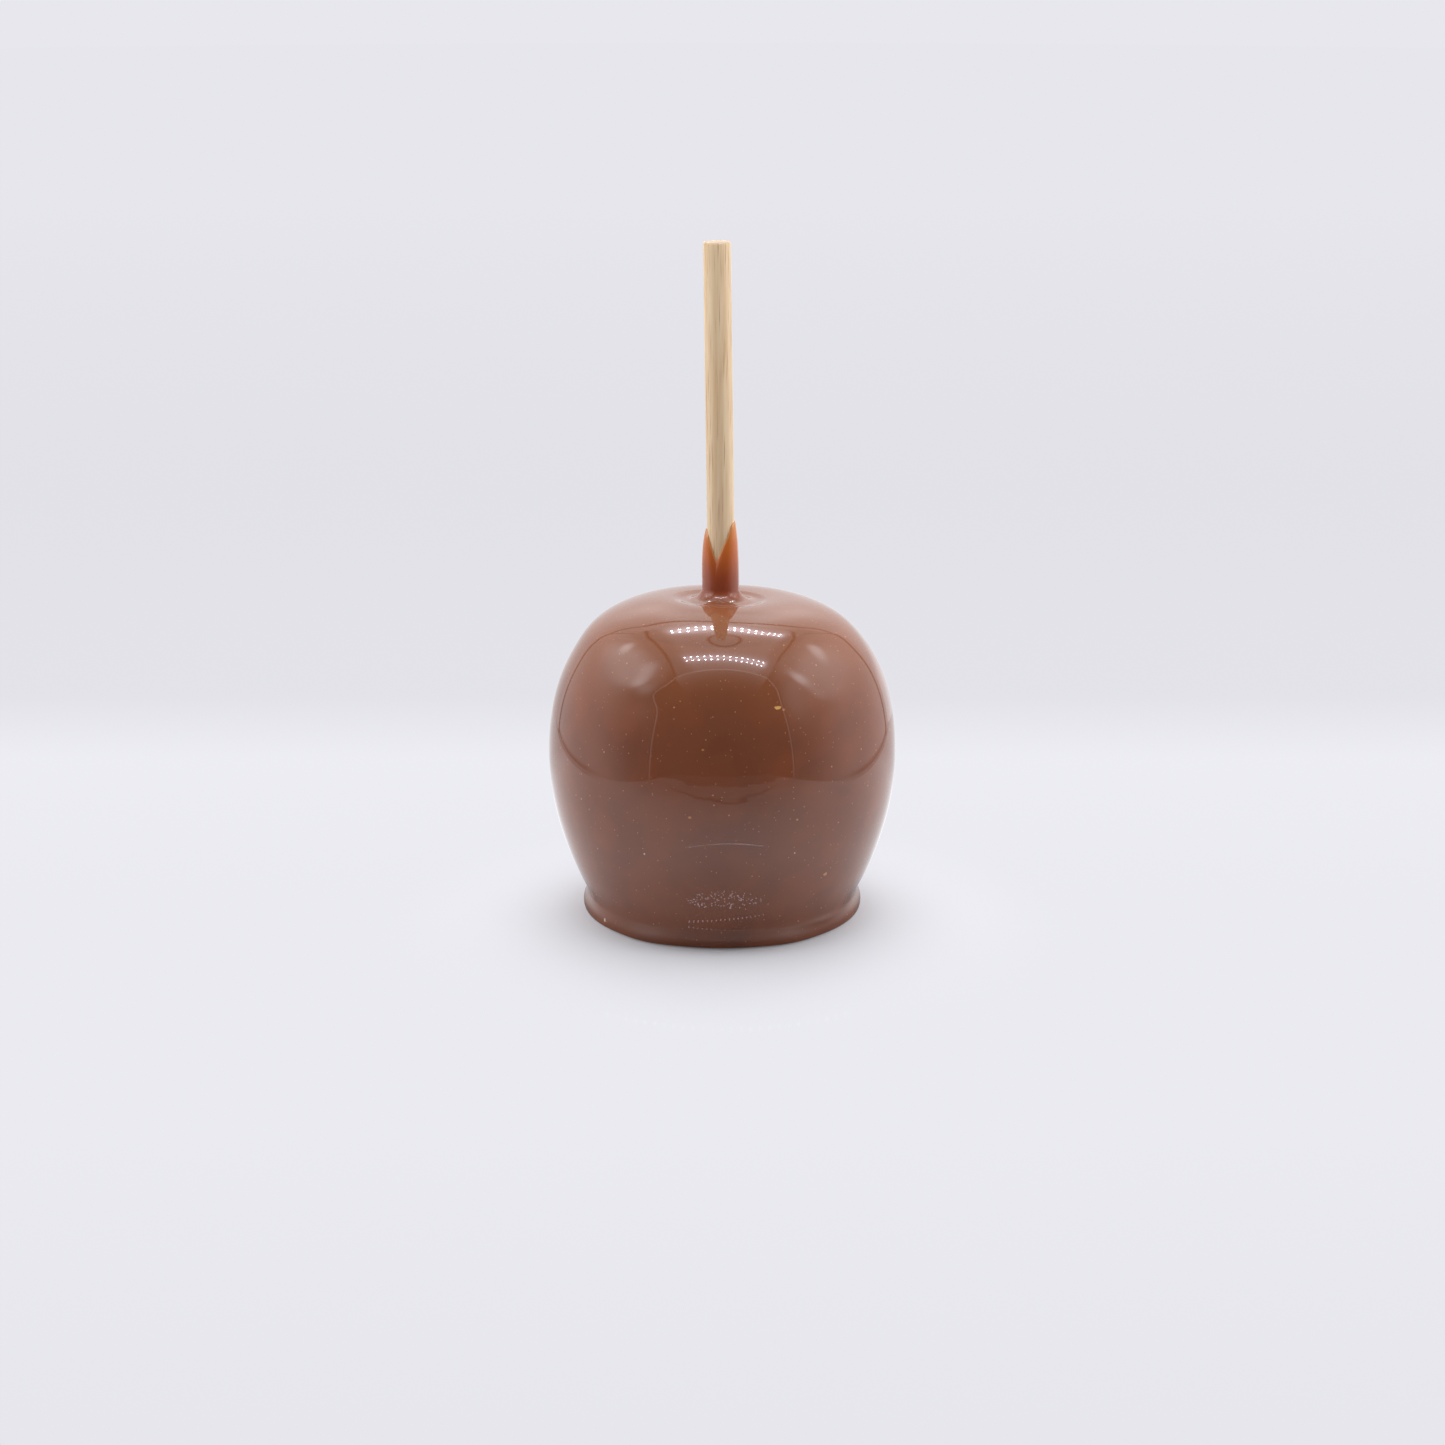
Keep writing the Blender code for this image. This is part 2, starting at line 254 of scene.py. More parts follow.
# How thick the sleeve is on the stick, at its neck: (azimuth, thickness)
SLEEVE_THICKNESS = ((-90, 1.40 * MM), (0, 1.10 * MM), (90, 1.0 * MM), (180, 1.0 * MM), (270, 1.40 * MM))
SLEEVE_THINNING = 0.72            # share of its thickness that it has lost at its edge
SLEEVE_BELLY = 3.4                # power of the way up: the higher, the later the sleeve thins
SLEEVE_EDGE = 0.35 * MM           # height over which its edge rounds in to the wood
BORE_BOTTOM = STICK_TOP - STICK_LENGTH
BORE_RADIUS = STICK_RADIUS - 0.03 * MM  # just into the wood, so that no gap shows
LEAN_FADE = (16.0 * MM, 8.0 * MM)  # radii between which the top starts to follow the stick's lean


def round_table(azimuth, table):
    """Value at each azimuth from a table that goes once round, straight between its entries."""
    first = table[0][0]
    return np.interp((azimuth - first) % 360 + first, [at for at, _ in table], [value for _, value in table])


def body_outline(azimuth):
    """Radius and height at each azimuth, in rows from the underside's middle to the neck."""
    underside = np.linspace(0, FOOT_UNDERSIDE_RADIUS, UNDERSIDE_ROWS + 1)[1:, None]
    runs = ((underside, 0 * underside), foot_and_flank(azimuth), shoulder(azimuth), gutter(azimuth),
            flare(azimuth))
    return [np.concatenate([run + 0 * azimuth for run in measure]) for measure in zip(*runs)]


def body_points(azimuth, out_x, out_y, neck):
    """X, Y and Z of the coat up to its neck, and how far out each point was before it closed on the neck.

    The outline is turned about Z, grown by its unevenness along its own radius, rippled, and centred in its
    box. Near the top it moves over to the stick's axis, and its radius closes on the neck's.
    """
    r, z = body_outline(azimuth)
    r = r + grown(azimuth, r, z)
    swing = fade(z, 0, 2 * FOOT_TOP) * fade(r, NECK_RADIUS, CREST_RADIUS)
    r = r + swing * ripple(r * out_x, r * out_y, z)
    x, y = r * out_x, r * out_y
    low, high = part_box("coated_apple")
    x += (low.x + high.x) / 2 - (x.min() + x.max()) / 2
    y += (low.y + high.y) / 2 - (y.min() + y.max()) / 2
    follow = fade(r, *LEAN_FADE) * (z > BELLY_HEIGHT)
    closing = fade(r, GUTTER_RADIUS, NECK_RADIUS) * (z > BELLY_HEIGHT)
    closed = r + closing * (neck - NECK_RADIUS)
    x = (1 - follow) * x + follow * (closed * out_x + stick_axis_x(z))
    y = (1 - follow) * y + follow * closed * out_y
    return x, y, z, r


def sleeve_and_bore(neck, neck_z, rim):
    """Radius about the stick's axis and height, in rows up the sleeve and down the bore inside it.

    The sleeve thins with a power of the way up to its rim, its edge rounds in to the wood as a quarter of an
    ellipse, and the bore runs straight down.
    """
    way = np.linspace(0, 1, SLEEVE_ROWS + 1)[1:, None]
    turn = np.linspace(0, math.pi / 2, EDGE_ROWS + 1)[1:, None]
    down = np.linspace(0, 1, BORE_ROWS + 1)[1:, None]
    thick = (neck - STICK_RADIUS) * (1 - SLEEVE_THINNING * way ** SLEEVE_BELLY)
    bore_z = rim + (BORE_BOTTOM - rim) * down
    r = np.concatenate([STICK_RADIUS + thick, BORE_RADIUS + thick[-1:] * np.cos(turn),
                        BORE_RADIUS + 0 * bore_z])
    z = np.concatenate([neck_z + way * (rim - SLEEVE_EDGE - neck_z), rim - SLEEVE_EDGE * (1 - np.sin(turn)),
                        bore_z])
    return r, z


def coat_grid():
    """The coat's points, as rows from the underside to the bore's bottom by columns round it.

    With them come how far each is over the neck, or how far out from it as a negative number, and how far
    under the sleeve's rim.
    """
    azimuth = np.linspace(-180, 180, COLUMNS, endpoint=False)[None, :]
    out_x, out_y = np.sin(np.radians(azimuth)), -np.cos(np.radians(azimuth))
    neck = STICK_RADIUS + round_table(azimuth, SLEEVE_THICKNESS)
    rim = round_table(azimuth, RIM)
    x, y, z, body_r = body_points(azimuth, out_x, out_y, neck)
    neck_z = z[-1:]
    sleeve_r, sleeve_z = sleeve_and_bore(neck, neck_z, rim)
    x = np.concatenate([x, sleeve_r * out_x + stick_axis_x(sleeve_z)])
    y = np.concatenate([y, sleeve_r * out_y])
    z = np.concatenate([z, sleeve_z])
    return np.stack([x, y, z], axis=-1), np.concatenate([NECK_RADIUS - body_r, sleeve_z - neck_z]), rim - z


def turned_mesh(name, grid, first, last):
    """A closed mesh through rows of points that each go once round, with a pole before and after them."""
    rows, columns, _ = grid.shape
    at = 1 + np.arange(rows * columns).reshape(rows, columns)
    beside = np.roll(at, -1, axis=1)
    quads = np.stack([at[:-1], beside[:-1], beside[1:], at[1:]], axis=-1).reshape(-1, 4)
    end = rows * columns + 1
    caps = np.concatenate([np.stack([0 * at[0], beside[0], at[0]], axis=-1),
                           np.stack([at[-1], beside[-1], end + 0 * at[-1]], axis=-1)])
    points = np.concatenate([[first], grid.reshape(-1, 3), [last]])
    mesh = bpy.data.meshes.new(name)
    mesh.from_pydata(points, [], quads.tolist() + caps.tolist())
    mesh.shade_smooth()
    made = bpy.data.objects.new(name, mesh)
    bpy.context.collection.objects.link(made)
    return made


coat_points, over_neck, under_rim = coat_grid()
bore_end = (stick_axis_x(BORE_BOTTOM), 0, BORE_BOTTOM)
coat = turned_mesh("caramel_coated_apple", coat_points, (0, 0, 0), bore_end)
for name, values in (("over_neck", over_neck), ("under_rim", under_rim)):
    with_poles = np.r_[-1, values.ravel(), 1]
    coat.data.attributes.new(name, "FLOAT", "POINT").data.foreach_set("value", with_poles)


def add(tree, kind, put=(), **settings):
    """A shader node with its settings, and its sockets set, or linked where the value is a socket."""
    made = tree.nodes.new("ShaderNode" + kind)
    for key, value in settings.items():
        setattr(made, key, value)
    for socket, value in dict(put).items():
        if isinstance(value, bpy.types.NodeSocket):
            tree.links.new(value, made.inputs[socket])
        else:
            made.inputs[socket].default_value = value
    return made


def maths(tree, operation, first, second):
    """Output of a Math node."""
    return add(tree, "Math", {0: first, 1: second}, operation=operation).outputs[0]


def blend(tree, share, under, over):
    """Colour of one over another by a share."""
    return add(tree, "Mix", {0: share, 6: under, 7: over}, data_type="RGBA").outputs[2]


def ramp(tree, factor, stops):
    """Colour Ramp over (place, colour) stops."""
    made = add(tree, "ValToRGB", {"Fac": factor})
    steps = made.color_ramp.elements
    while len(steps) < len(stops):
        steps.new(0.5)
    for step, (place, colour) in zip(steps, stops):
        step.position = place
        step.color = (*colour, 1)
    return made.outputs[0]


def share_of(tree, factor, start, end, low=0, high=1):
    """A share that is low up to the factor's start, high from its end on, and straight between them."""
    return ramp(tree, factor, ((start, (low, low, low)), (end, (high, high, high))))


def new_finish(name, **sockets):
    """A material with its node tree and Principled shader, whose plain sockets are set by name."""
    made = bpy.data.materials.new(name)
    made.use_nodes = True
    shader = made.node_tree.nodes["Principled BSDF"]
    for socket, value in sockets.items():
        shader.inputs[socket.replace("_", " ")].default_value = value
    return made, made.node_tree, shader


COAT_BROWN = (0.248, 0.082, 0.041, 1)
COAT_DARKER = (0.208, 0.070, 0.038, 1)
COAT_REDDER = (0.272, 0.085, 0.040, 1)
COAT_TOP_LIGHT = (0.298, 0.106, 0.046, 1)  # painted light from above: lighter, more orange shoulder, coming in between these heights:
TOP_LIGHT_SPAN = (52 * MM, 74 * MM)
TOP_LIGHT_SHARE = 0.8                  # how much of it there is at the upper one
SPECK = (0.72, 0.32, 0.17, 1)
# Specks in the coat, fine and coarse: (cells to a metre, share of the cells with one, opacity)
SPECKS = ((900, 0.55, 0.85), (560, 0.18, 0.75))
SPECK_EDGE = (0.08, 0.15)         # over which a speck ends, as shares of its cell
# Crumbs and specks of sugar, some scorched, under the gloss:
# (azimuth, height, half width, half height, colour)
GOLDEN, CRUMB = (0.90, 0.50, 0.16, 1), (0.56, 0.25, 0.10, 1)
SUGAR, SCORCHED = (0.80, 0.66, 0.52, 1), (0.07, 0.02, 0.01, 1)
FLECKS = ((19, 58.7 * MM, 0.85 * MM, 0.45 * MM, GOLDEN), (21, 58.0 * MM, 0.40 * MM, 0.30 * MM, CRUMB),
          (39, 17.1 * MM, 0.70 * MM, 0.50 * MM, CRUMB), (-9.8, 34.3 * MM, 0.40 * MM, 0.35 * MM, CRUMB),
          (-17, 50.9 * MM, 0.55 * MM, 0.50 * MM, COAT_REDDER), (-6, 49.7 * MM, 0.35 * MM, 0.30 * MM, CRUMB),
          (24.8, 32.9 * MM, 0.35 * MM, 0.30 * MM, CRUMB), (-27, 24.1 * MM, 0.22 * MM, 0.22 * MM, SUGAR),
          (24.8, 24.3 * MM, 0.20 * MM, 0.20 * MM, SUGAR), (68.5, 20.9 * MM, 0.30 * MM, 1.10 * MM, SCORCHED),
          (-55, 2.2 * MM, 0.45 * MM, 0.60 * MM, SUGAR))
FLECK_EDGE = (1.2, 1.5)           # over which a fleck ends, in its half sizes and with its roughness added
FLECK_OPACITY = 0.9
# The film on the stick clears as it thins upwards: (millimetres over the neck, colour)
FILM_COLOURS = ((0.3, (0.32, 0.080, 0.036)), (3.0, (0.34, 0.080, 0.032)), (5.0, (0.40, 0.096, 0.030)),
                (7.5, (0.49, 0.122, 0.030)), (10.5, (0.56, 0.150, 0.032)), (15.5, (0.68, 0.26, 0.070)))
FILM_SKIRT = 2.0                  # millimetres out from the neck over which it turns into the body's brown
FILM_SPAN = 18.0                  # millimetres that the ramp covers
FILM_EDGE = (0.66, 0.36, 0.16, 1)  # wood showing through the last of it
FILM_EDGE_DEPTH = 0.8 * MM
FILM_EDGE_SHARE = 0.55            # how much the wood shows at the rim


def coat_place(azimuth, height):
    """The coat's point nearest to an azimuth and height on the apple's body."""
    column = round((azimuth + 180) / 360 * COLUMNS) % COLUMNS
    body = coat_points[UNDERSIDE_ROWS:-SLEEVE_ROWS - EDGE_ROWS - BORE_ROWS, column]
    return tuple(body[np.abs(body[:, 2] - height).argmin()])


def body_brown(tree, at):
    """The body's colour: cloudy brown, painted lighter and more orange on the shoulder, fine pale specks,
    flecks.
    """
    clouds = add(tree, "TexNoise", {"Vector": at, "Scale": 55, "Detail": 4, "Roughness": 0.55}).outputs["Fac"]
    warm = add(tree, "TexNoise", {"Vector": at, "Scale": 110, "Detail": 1, "W": 3.0}, noise_dimensions="4D")
    brown = blend(tree, share_of(tree, clouds, 0.35, 0.70), COAT_BROWN, COAT_DARKER)
    brown = blend(tree, share_of(tree, warm.outputs["Fac"], 0.45, 0.75), brown, COAT_REDDER)
    # Painted light: the coat's colour is lightened towards the top, as if by the light falling from above
    height = add(tree, "SeparateXYZ", {0: at}).outputs[2]
    top_light = add(tree, "MapRange", {"Value": height, "From Min": TOP_LIGHT_SPAN[0], "From Max": TOP_LIGHT_SPAN[1],
                                  "To Max": TOP_LIGHT_SHARE}).outputs[0]
    brown = blend(tree, top_light, brown, COAT_TOP_LIGHT)
    for scale, share, opacity in SPECKS:
        cells = add(tree, "TexVoronoi", {"Vector": at, "Scale": scale})
        draws = add(tree, "SeparateColor", {0: cells.outputs["Color"]})
        drawn = maths(tree, "GREATER_THAN", draws.outputs[0], 1 - share)
        near = share_of(tree, cells.outputs["Distance"], *SPECK_EDGE, 1, 0)
        pale = maths(tree, "MULTIPLY", maths(tree, "MULTIPLY", near, draws.outputs[1]), opacity)
        brown = blend(tree, maths(tree, "MULTIPLY", pale, drawn), brown, SPECK)
    rough = add(tree, "TexNoise", {"Vector": at, "Scale": 1500, "Detail": 1}).outputs["Fac"]
    for azimuth, height, half_width, half_height, colour in FLECKS:
        place = coat_place(azimuth, height)
        shrink = (1 / half_width, 1 / half_width, 1 / half_height)
        away = add(tree, "VectorMath", {0: at, 1: place}, operation="SUBTRACT").outputs[0]
        away = add(tree, "VectorMath", {0: away, 1: shrink}, operation="MULTIPLY").outputs[0]
        away = add(tree, "VectorMath", {0: away}, operation="LENGTH").outputs["Value"]
        near = add(tree, "MapRange", {"Value": maths(tree, "ADD", away, rough), "From Min": FLECK_EDGE[0],
                                      "From Max": FLECK_EDGE[1], "To Min": FLECK_OPACITY,
                                      "To Max": 0}).outputs[0]
        brown = blend(tree, near, brown, colour)
    return brown


def caramel():
    """Glossy milk chocolate caramel, brown on the body, and clearer and more orange up the stick."""
    finish, tree, shader = new_finish("caramel_coat", Roughness=0.022, IOR=1.5)
    brown = body_brown(tree, add(tree, "TexCoord").outputs["Object"])
    over_neck = add(tree, "Attribute", attribute_name="over_neck").outputs["Fac"]
    share = add(tree, "MapRange", {"Value": over_neck, "From Min": -FILM_SKIRT * MM,
                                   "From Max": (FILM_SPAN - FILM_SKIRT) * MM}).outputs[0]
    film = ramp(tree, share, [((FILM_SKIRT + over) / FILM_SPAN, colour) for over, colour in FILM_COLOURS])
    under_rim = add(tree, "Attribute", attribute_name="under_rim").outputs["Fac"]
    edge = add(tree, "MapRange", {"Value": under_rim, "From Max": FILM_EDGE_DEPTH,
                                  "To Min": FILM_EDGE_SHARE, "To Max": 0}).outputs[0]
    film = blend(tree, edge, film, FILM_EDGE)
    on_stick = share_of(tree, share, 0, FILM_SKIRT / FILM_SPAN)
    tree.links.new(blend(tree, on_stick, brown, film), shader.inputs["Base Color"])
    return finish


coat.data.materials.append(caramel())
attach(coat, "root")
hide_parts("coated_apple")

# ---- Stick ----------------------------------------------------------------------------------------------
# A quarter inch dowel of pale birch, pushed down the core with its sawn end up. Its arris is worn round, and
# the grain runs straight along it.
STICK_EDGE = 0.4 * MM             # the worn edge round each cut end
STICK_COLUMNS = 96
STICK_ROWS, STICK_EDGE_ROWS = 60, 7
STICK_END_RINGS = (0.25, 0.5, 0.75, 0.9)  # on the flat of each end, as shares of its radius


def dowel_grid():
    """Rows of a round rod on the leaning axis, from its lower end to its upper.

    Each end is flat, then a quarter round edge, and the side between them is straight.
    """
    turn = np.linspace(0, math.pi / 2, STICK_EDGE_ROWS)
    flat = np.array(STICK_END_RINGS) * (STICK_RADIUS - STICK_EDGE)
    edge_r = STICK_RADIUS - STICK_EDGE * (1 - np.sin(turn))
    edge_h = STICK_EDGE * (1 - np.cos(turn))
    side = np.linspace(STICK_EDGE, STICK_LENGTH - STICK_EDGE, STICK_ROWS)[1:-1]
    r = np.r_[flat, edge_r, STICK_RADIUS + 0 * side, edge_r[::-1], flat[::-1]][:, None]
    h = np.r_[0 * flat, edge_h, side, STICK_LENGTH - edge_h[::-1], STICK_LENGTH + 0 * flat][:, None]
    azimuth = np.radians(np.linspace(-180, 180, STICK_COLUMNS, endpoint=False))[None, :]
    lean = math.radians(STICK_LEAN)
    across, along = r * np.sin(azimuth), h - STICK_LENGTH / 2
    middle = STICK_TOP - STICK_LENGTH / 2
    x = across * math.cos(lean) - along * math.sin(lean) + stick_axis_x(middle)
    z = across * math.sin(lean) + along * math.cos(lean) + middle
    return np.stack([x, -r * np.cos(azimuth), z], axis=-1)


stick_points = dowel_grid()
stick = turned_mesh("dowel_stick", stick_points, stick_points[0].mean(axis=0), stick_points[-1].mean(axis=0))

WOOD = (0.77, 0.60, 0.40, 1)
WOOD_DEEPER = (0.68, 0.46, 0.25, 1)
WOOD_STREAK = (0.40, 0.20, 0.08, 1)
WOOD_END = (0.50, 0.37, 0.25, 1)
# How much the bands and the streaks are drawn out along the stick
BAND_SCALE, STREAK_SCALE = (1, 1, 0.03), (1, 1, 0.025)


def birch():
    """Pale wood: long soft bands and fine dark streaks along the grain, and a darker sawn end."""
    finish, tree, shader = new_finish("pale_birch", Roughness=0.5, IOR=1.45)
    at = add(tree, "TexCoord").outputs["Object"]
    along = add(tree, "Mapping", {"Vector": at, "Rotation": (0, math.radians(-STICK_LEAN), 0)}).outputs[0]
    long_grain = add(tree, "Mapping", {"Vector": along, "Scale": BAND_SCALE}).outputs[0]
    bands = add(tree, "TexNoise", {"Vector": long_grain, "Scale": 900, "Detail": 4, "Roughness": 0.6})
    wood = blend(tree, share_of(tree, bands.outputs["Fac"], 0.35, 0.70), WOOD, WOOD_DEEPER)
    fine_grain = add(tree, "Mapping", {"Vector": along, "Scale": STREAK_SCALE}).outputs[0]
    streaks = add(tree, "TexNoise", {"Vector": fine_grain, "Scale": 3200, "Detail": 2})
    wood = blend(tree, share_of(tree, streaks.outputs["Fac"], 0.56, 0.70, 0, 0.7), wood, WOOD_STREAK)
    facing = add(tree, "SeparateXYZ", {0: add(tree, "NewGeometry").outputs["Normal"]}).outputs[2]
    sawn = share_of(tree, facing, 0.5, 0.9)
    tree.links.new(blend(tree, sawn, wood, WOOD_END), shader.inputs["Base Color"])
    return finish


stick.data.materials.append(birch())
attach(stick, "root")
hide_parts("stick")

# ---- Floor ----------------------------------------------------------------------------------------------
# A plain pale floor with a smooth painted face. It is lit like the apple, mirrors it softly, and fades into
# an equally pale surround that glows: painted light, graded from front to back, that lightens the apple's
# shadow near it.
SURROUND = (0.80, 0.80, 0.85)
# How bright the surround's painted glow is from front to back: (share of its depth, level)
SURROUND_LEVELS = ((0.07, 0.99), (0.13, 1.03), (0.20, 1.03), (0.262, 1.055), (0.295, 0.958), (0.45, 0.945),
                   (1, 0.99))
SURROUND_DEPTH = (-0.4, 1.6)
FLOOR_FADE = (0, 0.085)           # distances over which the floor turns into the surround
FLOOR_MIDDLE = (0, -0.015, 0)     # from this point, so that the apple's shade reaches furthest in front
FLOOR_RADIUS = 3.9
FLOOR_SIDES = 128
FLOOR_WHITE = (0.80, 0.81, 0.86, 1)

bpy.ops.mesh.primitive_circle_add(vertices=FLOOR_SIDES, radius=FLOOR_RADIUS, fill_type="NGON")
floor = bpy.context.object
floor.name = "pale_floor"
floor.visible_glossy = False


def pale_floor():
    """Smooth white paint, whose own shading gives way with distance to a painted glow in the surround's
    colour.
    """
    finish, tree, shader = new_finish("pale_floor", Base_Color=FLOOR_WHITE, Roughness=0.25)
    at = add(tree, "TexCoord").outputs["Object"]
    away = add(tree, "VectorMath", {0: at, 1: FLOOR_MIDDLE}, operation="DISTANCE").outputs["Value"]
    far = add(tree, "MapRange", {"Value": away, "From Min": FLOOR_FADE[0], "From Max": FLOOR_FADE[1]},
              interpolation_type="SMOOTHSTEP").outputs[0]
    back = add(tree, "MapRange", {"Value": add(tree, "SeparateXYZ", {0: at}).outputs[1],
                                  "From Min": SURROUND_DEPTH[0], "From Max": SURROUND_DEPTH[1]}).outputs[0]
    shades = [(place, tuple(level * part for part in SURROUND)) for place, level in SURROUND_LEVELS]
    # Painted light: the surround glows, and near the apple this glow lightens the floor's shade
    glow = add(tree, "Emission", {"Color": ramp(tree, back, shades)})
    mixed = add(tree, "MixShader", {0: far, 1: shader.outputs[0], 2: glow.outputs[0]})
    tree.links.new(mixed.outputs[0], tree.nodes["Material Output"].inputs["Surface"])
    return finish


floor.data.materials.append(pale_floor())

world = bpy.data.worlds.new("pale_surround")
world.use_nodes = True
world.node_tree.nodes["Background"].inputs["Color"].default_value = (*SURROUND, 1)
bpy.context.scene.world = world
for way in ("diffuse", "glossy", "transmission", "scatter"):
    setattr(world.cycles_visibility, way, False)
bpy.context.scene.view_settings.view_transform = "Standard"

# ---- Light box ------------------------------------------------------------------------------------------
# A white box of thin panels round the apple, open at the front, with two rows of small lamps under its lid.
# Area lights give its soft light. Glowing sheets in the same places, which only gloss sees, are what the
# coat mirrors.
BOX_SIDE = 190 * MM               # from the middle to each side
BOX_FRONT, BOX_BACK = -186 * MM, 200 * MM
BOX_TOP = 350 * MM
# Lamps, in rows of two lines each: (y of the row, half the way between its lines, x from, x to)
LAMP_ROWS = ((155 * MM, 9 * MM, -92 * MM, 132 * MM), (-88 * MM, 12 * MM, -115 * MM, 149 * MM))
LAMP_SLANT = -0.13                # how both rows run in Y for each step to the right of the middle
LAMP_PITCHES = (14.5 * MM, 19.5 * MM)
LAMP_SIZES = (4.6 * MM, 6.0 * MM)
LAMP_DROP = 3 * MM                # how far they hang under the lid
LAMP_RADIANCE = 62
LID_LIGHT, BACK_LIGHT = 1.45, 0.8  # radiance of the soft lights at the lid and the back
SIDE_LIGHTS = (1.95, 2.05)        # and at the left and right
SIDE_BRIGHT = (-70 * MM, 125 * MM)  # from front to back, where the sides give most of their light
SIDE_LIGHT_TOP = 240 * MM         # and up to this height
LAMP_LIGHTS = (9, 7.5)            # radiance of the soft lights along the rows of lamps
LAMP_LIGHT_DEPTH = 50 * MM


def soft_light(name, centre, facing, size, radiance):
    """A panel that lights but isn't mirrored: its power is its radiance times pi times its area."""
    made = bpy.data.objects.new(name, bpy.data.lights.new(name, "AREA"))
    made.data.shape = "RECTANGLE"
    made.data.size, made.data.size_y = size
    made.data.energy = radiance * math.pi * size[0] * size[1]
    made.location = centre
    made.rotation_euler = Vector(facing).to_track_quat("-Z", "Y").to_euler()
    made.visible_camera = made.visible_glossy = False
    bpy.context.collection.objects.link(made)


side_depth, side_middle = SIDE_BRIGHT[1] - SIDE_BRIGHT[0], sum(SIDE_BRIGHT) / 2
lid_depth, lid_middle = BOX_BACK - BOX_FRONT, (BOX_BACK + BOX_FRONT) / 2
soft_light("lid_light", (0, lid_middle, BOX_TOP), (0, 0, -1), (2 * BOX_SIDE, lid_depth), LID_LIGHT)
for side, radiance in zip((-1, 1), SIDE_LIGHTS):
    soft_light("side_light", (side * BOX_SIDE, side_middle, SIDE_LIGHT_TOP / 2), (-side, 0, 0),
               (side_depth, SIDE_LIGHT_TOP), radiance)
soft_light("back_light", (0, BOX_BACK, BOX_TOP / 2), (0, -1, 0), (2 * BOX_SIDE, BOX_TOP), BACK_LIGHT)
for (y, _, start, stop), radiance in zip(LAMP_ROWS, LAMP_LIGHTS):
    soft_light("lamp_light", ((start + stop) / 2, y, BOX_TOP), (0, 0, -1),
               (stop - start, LAMP_LIGHT_DEPTH), radiance)

SHEET_STEP = 1.5 * MM             # spacing of a sheet's points
SHEET_WHITE = (0.96, 0.99, 1.03)
LAMP_WHITE = (1.0, 0.96, 1.10)


def glowing(name):
    """A material that only emits, by the point attribute glow."""
    made = bpy.data.materials.new(name)
    made.use_nodes = True
    tree = made.node_tree
    tree.nodes.remove(tree.nodes["Principled BSDF"])
    light = add(tree, "Emission", {"Color": add(tree, "Attribute", attribute_name="glow").outputs["Color"]})
    tree.links.new(light.outputs[0], tree.nodes["Material Output"].inputs["Surface"])
    return made


sheet_glow = glowing("sheet_glow")
sheet_glow.cycles.emission_sampling = "NONE"
lamp_glow = glowing("lamp_glow")


def mirrored(name, points, faces, glow, finish):
    """A mesh of the stage that only mirroring surfaces see, with its brightness at each point as a colour."""
    mesh = bpy.data.meshes.new(name)
    mesh.from_pydata(points, [], faces)
    colours = np.hstack([glow, np.ones((len(points), 1))])
    mesh.attributes.new("glow", "FLOAT_COLOR", "POINT").data.foreach_set("color", colours.ravel())
    mesh.materials.append(finish)
    made = bpy.data.objects.new(name, mesh)
    bpy.context.collection.objects.link(made)
    made.visible_camera = made.visible_diffuse = made.visible_shadow = made.visible_transmission = False


def glow_sheet(name, corner, across, up, glow):
    """A flat grid between two edges from a corner, whose points glow by a function of their places."""
    corner, across, up = (np.array(edge, dtype=float) for edge in (corner, across, up))
    columns, rows = (int(np.linalg.norm(edge) / SHEET_STEP) + 2 for edge in (across, up))
    u, v = np.meshgrid(np.linspace(0, 1, columns), np.linspace(0, 1, rows))
    points = (corner + u[..., None] * across + v[..., None] * up).reshape(-1, 3)
    at = np.arange(rows * columns).reshape(rows, columns)
    quads = np.stack([at[:-1, :-1], at[:-1, 1:], at[1:, 1:], at[1:, :-1]], axis=-1).reshape(-1, 4)
    mirrored(name, points, quads.tolist(), glow(*points.T), sheet_glow)


def white(level):
    """Sheet colour at each level."""
    return np.multiply.outer(level, SHEET_WHITE)


# Dark seams between the sheets. Three are stronger and wider than the floor's: (strength, width)
SEAM = 3.2 * MM                   # half width
SEAM_DARK = 0.6                   # share of the brightness that is lost
BACK_SEAM = (1.5, 2)
LID_SEAM = (1.6, 2)
PORT_SEAM = (1.4, 1.5)
SEAM_FADE = (-60 * MM, 20 * MM)   # y between which the floor's seams come in


def seam(distance, strength, width=1):
    """What a sheet keeps of its brightness at a distance from a seam: one less a hill."""
    return 1 - strength * SEAM_DARK * hill(distance / width / SEAM)


# A side brightens towards the back from a start to an end, as Y. The start is nearer the front by the floor,
# up to about the height BY_FLOOR, and high up both are, from and to the heights SIDE_HIGH.
SIDE_START, START_BY_FLOOR, BY_FLOOR, START_HIGH = -150 * MM, 25 * MM, 35 * MM, 45 * MM
SIDE_END, END_HIGH = -10 * MM, 50 * MM
SIDE_HIGH = (130 * MM, 300 * MM)
# Radiance of a side in front, what it gains towards the back, and what is added to that high up
SIDE_LEVEL, SIDE_GAIN, SIDE_GAIN_HIGH = 0.20, 0.80, 0.20
SIDE_RIGHT, GAIN_RIGHT = 0.03, 0.10  # on the right the first is higher by this, and the last lower
SIDE_SHADE, SIDE_SHADE_FROM = 0.25, 300 * MM  # share lost under the lid, and the height where that starts
